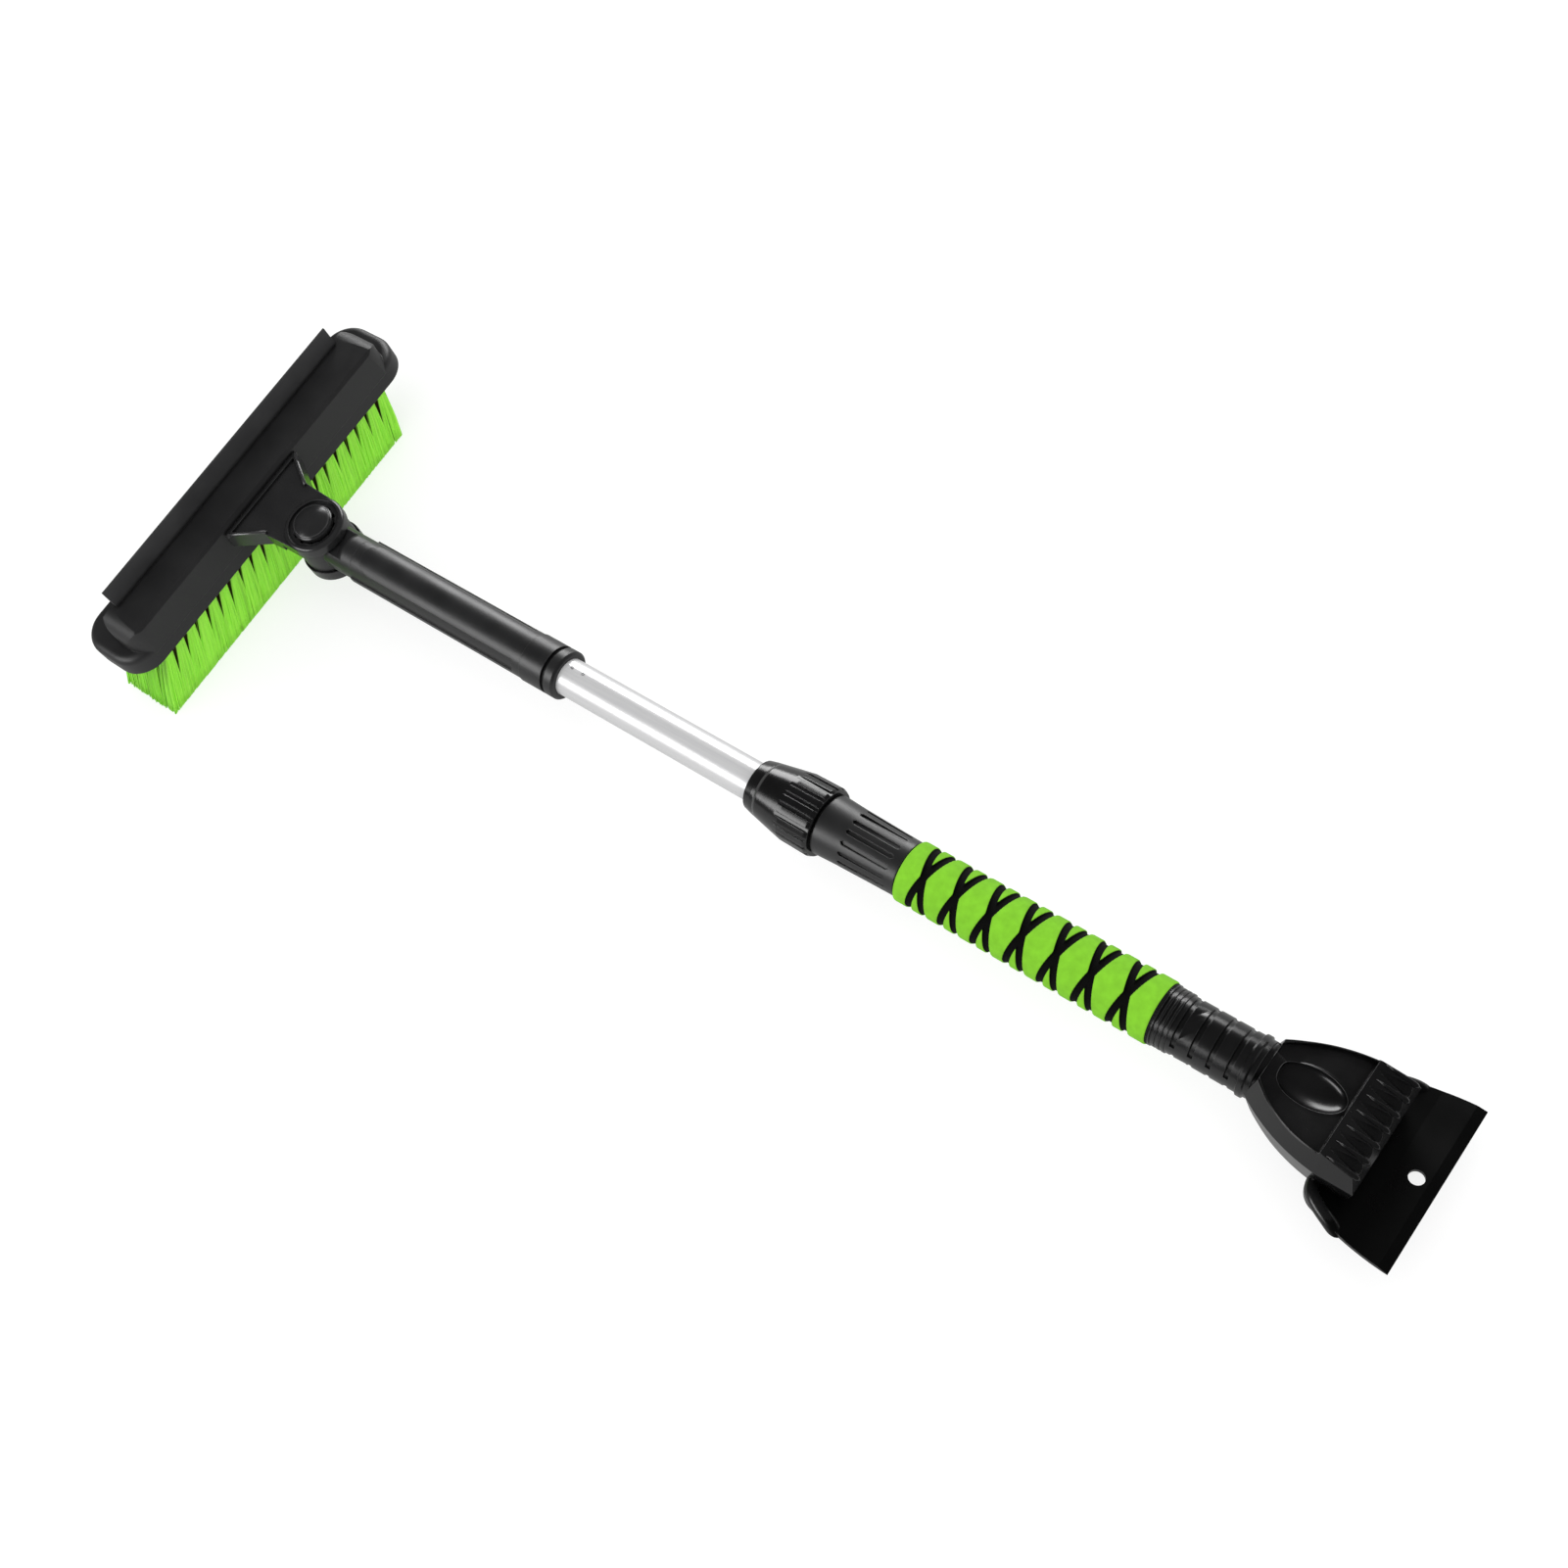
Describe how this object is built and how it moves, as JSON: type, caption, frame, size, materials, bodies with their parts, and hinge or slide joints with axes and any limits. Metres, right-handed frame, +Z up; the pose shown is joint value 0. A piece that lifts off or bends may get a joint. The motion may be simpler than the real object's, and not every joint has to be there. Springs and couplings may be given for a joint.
{
  "type": "snow brush scraper",
  "caption": "Telescopic snow brush with a pivoting bristle and squeegee head, foam grip and a toothed ice scraper at the other end.",
  "frame": {"origin": "middle of the bounding box's underside, under the handle", "axes": "+X along the handle from the brush to the scraper, +Y along the brush head, +Z up, away from the bristle tips"},
  "size_m": [0.8204, 0.2602, 0.097],
  "materials": {
    "black_plastic": "satin moulded",
    "gloss_black_plastic": "semi-gloss moulded",
    "grey_plastic": "matte",
    "green_bristle": "matte filament",
    "green_foam": "soft closed-cell foam",
    "black_rubber": "satin",
    "aluminium": "bright drawn",
    "steel": "plated"
  },
  "bodies": {
    "handle": {"collet": "grey_plastic", "outer_tube": "aluminium", "grip_socket": "gloss_black_plastic", "foam_grip": "green_foam", "scraper": "gloss_black_plastic"},
    "collar": {"twist_collar": "gloss_black_plastic"},
    "glide": {"glide_bush": "grey_plastic"},
    "stem": {"inner_tube": "aluminium", "tube_rivets": "steel", "tail_plug": "grey_plastic", "neck_sleeve": "black_plastic", "neck_collar": "black_plastic", "neck_knuckle": "black_plastic"},
    "head": {"head_housing": "black_plastic", "tuft_base": "black_plastic", "base_screws": "steel", "squeegee_blade": "black_rubber", "pivot_fork": "black_plastic", "pivot_axle": "steel", "axle_cap": "black_plastic", "button_spring": "steel", "bristle_row_1": "green_bristle", "bristle_row_2": "green_bristle", "bristle_row_3": "green_bristle", "bristle_row_4": "green_bristle"},
    "button": {"push_button": "gloss_black_plastic", "lock_disc": "grey_plastic"}
  },
  "joints": [
    {"name": "collar_twist", "type": "hinge", "parent": "handle", "child": "collar", "pos_m": [0.04677, 0.00008, 0.06], "axis": [1, 0, 0], "range_deg": [0, 110]},
    {"name": "tube_slide", "type": "slide", "parent": "handle", "child": "glide", "axis": [1, 0, 0], "range_m": [-0.09, 0.115]},
    {"name": "tube_swivel", "type": "hinge", "parent": "glide", "child": "stem", "pos_m": [0.16878, 0.00008, 0.06], "axis": [1, 0, 0], "continuous": true},
    {"name": "head_pivot", "type": "hinge", "parent": "stem", "child": "head", "pos_m": [-0.30723, 0.00008, 0.06], "axis": [0, 0, 1], "range_deg": [-90, 90]},
    {"name": "button_press", "type": "slide", "parent": "head", "child": "button", "axis": [0, 0, -1], "range_m": [0, 0.0035], "stiffness_N_per_m": 400, "springref_m": -0.003, "deforming": ["button_spring"]}
  ]
}
